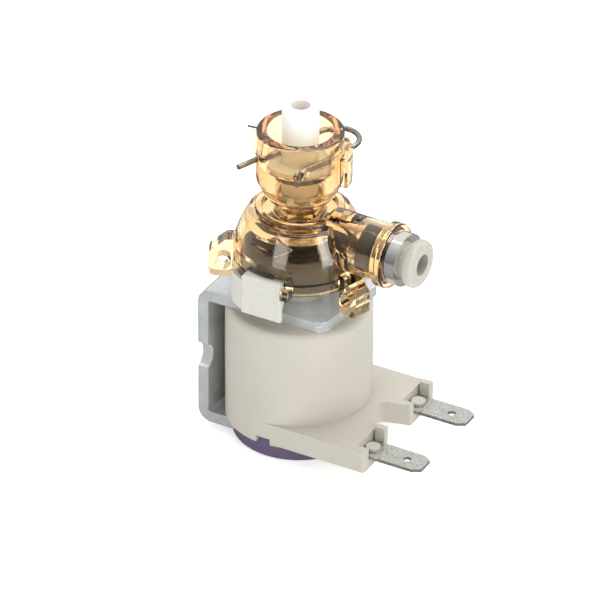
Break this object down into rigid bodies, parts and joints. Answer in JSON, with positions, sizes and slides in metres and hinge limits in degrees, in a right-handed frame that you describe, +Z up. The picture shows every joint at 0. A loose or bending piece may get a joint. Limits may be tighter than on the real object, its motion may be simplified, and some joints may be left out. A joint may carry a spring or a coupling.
{
  "type": "solenoid water valve",
  "caption": "Normally closed two-way solenoid water valve: clear amber body with clipped inlet tube and push-in outlet, on a steel yoke and moulded coil with spade tabs.",
  "frame": {"origin": "on the valve's axis, at the underside of the end cap", "axes": "+Z up along the valve's axis from the end cap to the inlet, +X from the yoke's wall to the spade tabs, +Y away from the end cap's tab"},
  "size_m": [0.0569, 0.0328, 0.0823],
  "materials": {
    "amber_moulding": "clear amber polysulfone, polished mould",
    "white_nylon": "satin moulded nylon",
    "cream_thermoset": "matte moulding compound with fine pits",
    "purple_plastic": "satin moulded plastic",
    "zinc_plate": "bright zinc plating",
    "tinned_brass": "tinned, slightly speckled",
    "spring_steel": "drawn stainless wire",
    "core_steel": "turned stainless steel",
    "black_rubber": "smooth moulded rubber",
    "chrome_ring": "bright nickel chrome plating",
    "off_white_acetal": "satin moulded acetal",
    "dark_acetal": "satin moulded acetal",
    "natural_tube": "translucent natural polyethylene",
    "clear_plastic": "clear moulded plastic",
    "copper_wire": "enamelled copper winding",
    "filter_mesh": "fine stainless mesh"
  },
  "bodies": {
    "valve": {"end_cap": "purple_plastic", "yoke": "zinc_plate", "coil_overmould": "cream_thermoset", "bobbin": "cream_thermoset", "winding": "copper_wire", "flux_sleeve": "zinc_plate", "tab_front": "tinned_brass", "tab_rear": "tinned_brass", "guide_tube": "white_nylon", "fixed_core": "core_steel", "plunger_spring": "spring_steel", "body_seal": "black_rubber", "diaphragm": "black_rubber", "valve_body": "amber_moulding", "inlet_filter": "filter_mesh", "inlet_seal": "black_rubber", "retaining_clip": "spring_steel", "outlet_seal": "black_rubber", "outlet_spacer": "clear_plastic", "cartridge_ring": "chrome_ring"},
    "plunger": {"plunger": "core_steel", "plunger_seal": "black_rubber"},
    "pilot_disc": {"diaphragm_insert": "dark_acetal"},
    "collet": {"collet": "off_white_acetal", "collet_teeth": "spring_steel"},
    "inlet_stub": {"inlet_stub": "natural_tube"}
  },
  "joints": [
    {"name": "plunger_slide", "type": "slide", "parent": "valve", "child": "plunger", "axis": [0, 0, -1], "range_m": [0, 0.0022], "stiffness_N_per_m": 350, "springref_m": -0.003, "deforming": ["plunger_spring"]},
    {"name": "pilot_disc_lift", "type": "slide", "parent": "valve", "child": "pilot_disc", "axis": [0, 0, -1], "range_m": [0, 0.001], "deforming": ["diaphragm"]},
    {"name": "collet_push", "type": "slide", "parent": "valve", "child": "collet", "axis": [-0.9988, 0.0489, 0], "range_m": [0, 0.0012]},
    {"name": "inlet_stub_turn", "type": "hinge", "parent": "valve", "child": "inlet_stub", "pos_m": [0, 0, 0.07], "axis": [0, 0, 1], "continuous": true}
  ],
  "couplings": [
    {"joint": "pilot_disc_lift", "follows": "plunger_slide", "ratio": 0.4545}
  ]
}
